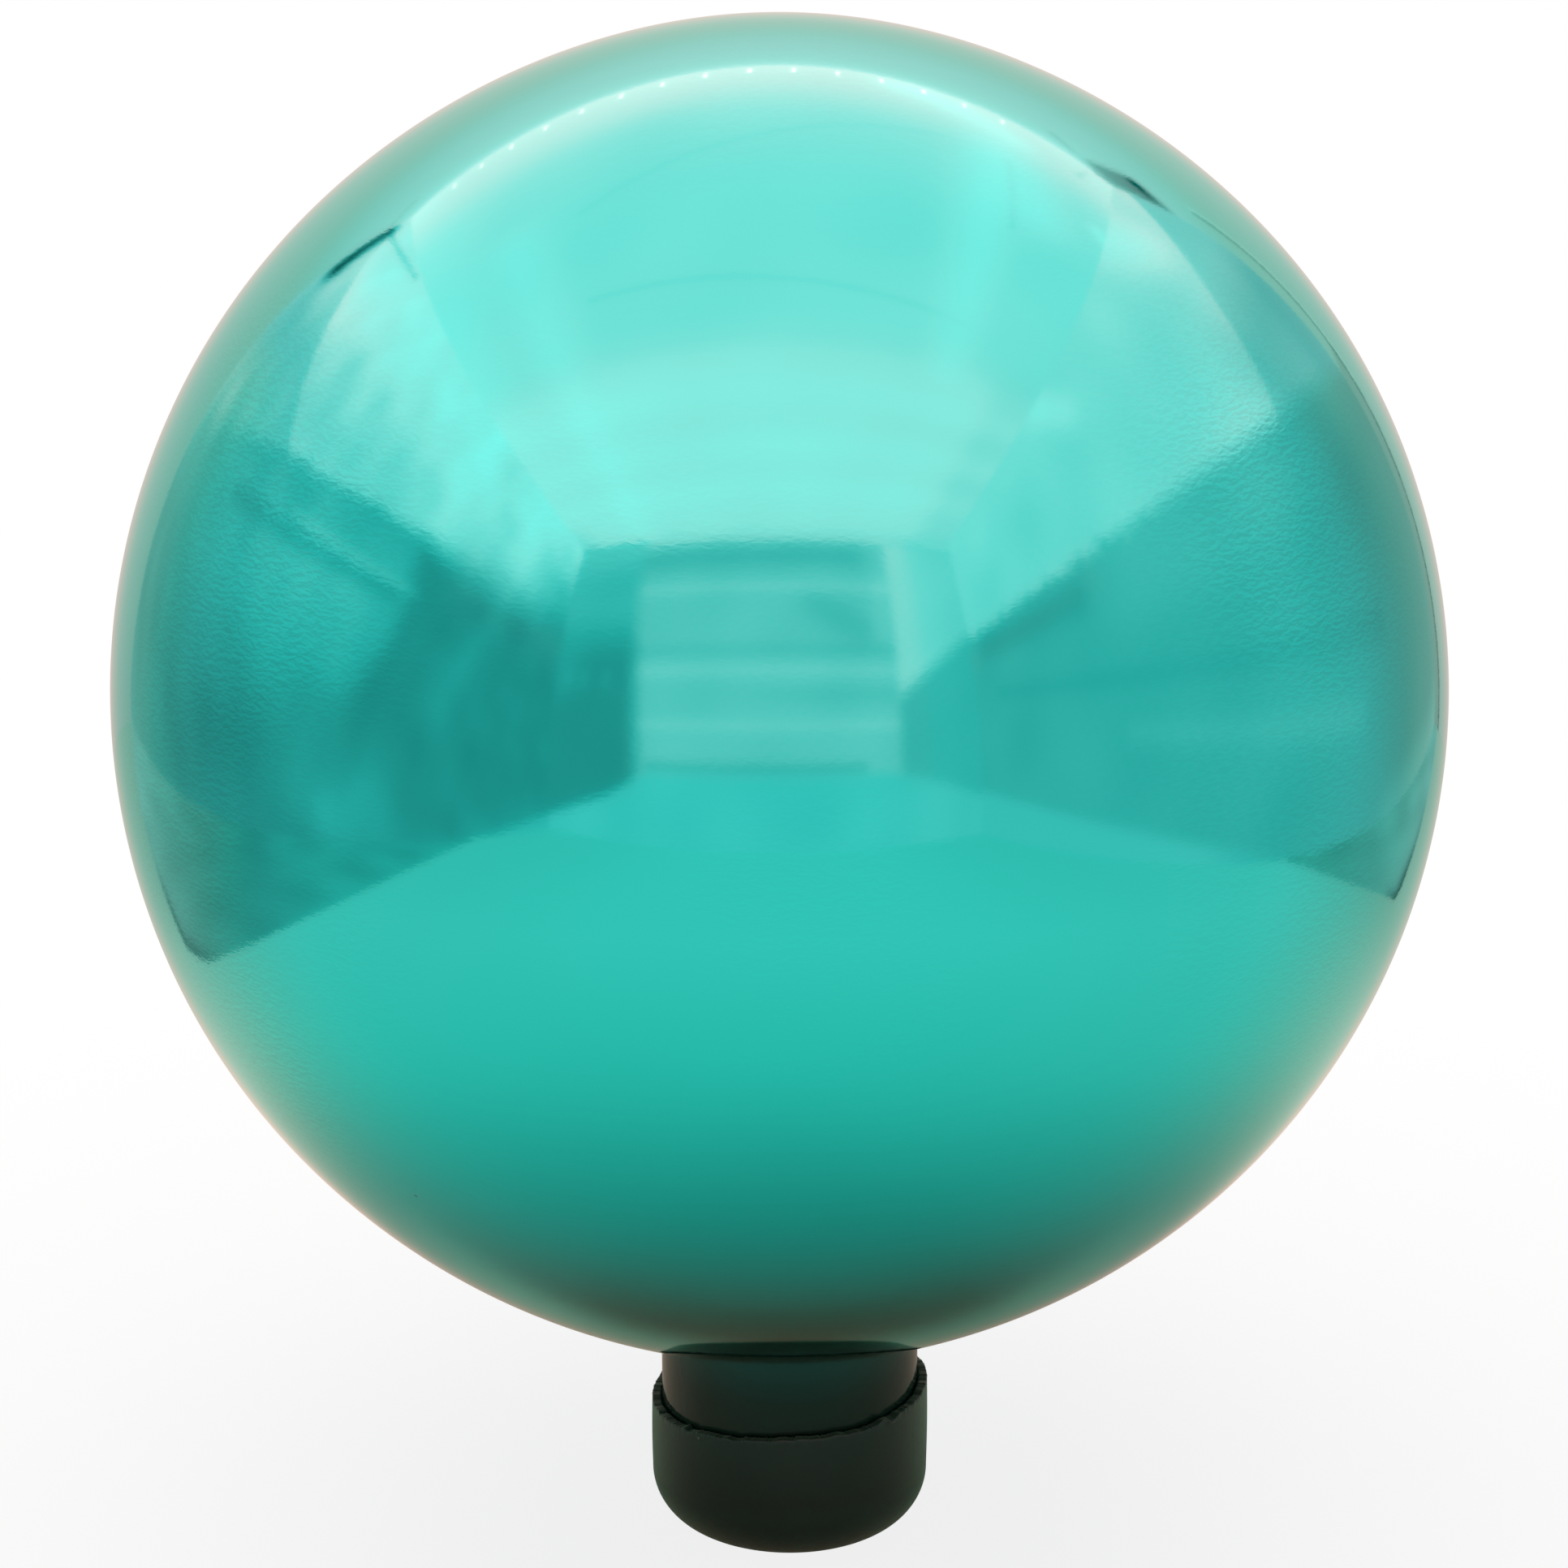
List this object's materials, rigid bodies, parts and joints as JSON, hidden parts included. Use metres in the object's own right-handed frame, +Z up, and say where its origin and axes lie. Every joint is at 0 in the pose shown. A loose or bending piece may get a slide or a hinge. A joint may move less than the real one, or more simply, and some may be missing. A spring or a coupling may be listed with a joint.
{
  "type": "garden gazing ball",
  "caption": "Hollow blown glass gazing ball with a teal mirror finish and a short round neck that ends in a pull-off black rubber cap.",
  "frame": {"origin": "on the ground, at the middle of the base of the whole object's box, straight below the middle of the ball", "axes": "+Z up through the ball, -Y towards the viewer of the picture, +X to the viewer's right, which is the side the neck is set off to"},
  "size_m": [0.254, 0.254, 0.3003],
  "materials": {
    "teal_mirror_glass": "polished mirror",
    "black_rubber": "matt, slightly dusty"
  },
  "bodies": {
    "cap": {"rubber_cap": "black_rubber"},
    "globe": {"glass_globe": "teal_mirror_glass"}
  },
  "joints": [
    {"name": "cap_pull", "type": "slide", "parent": "cap", "child": "globe", "axis": [0, 0, 1], "range_m": [0, 0.03]}
  ]
}
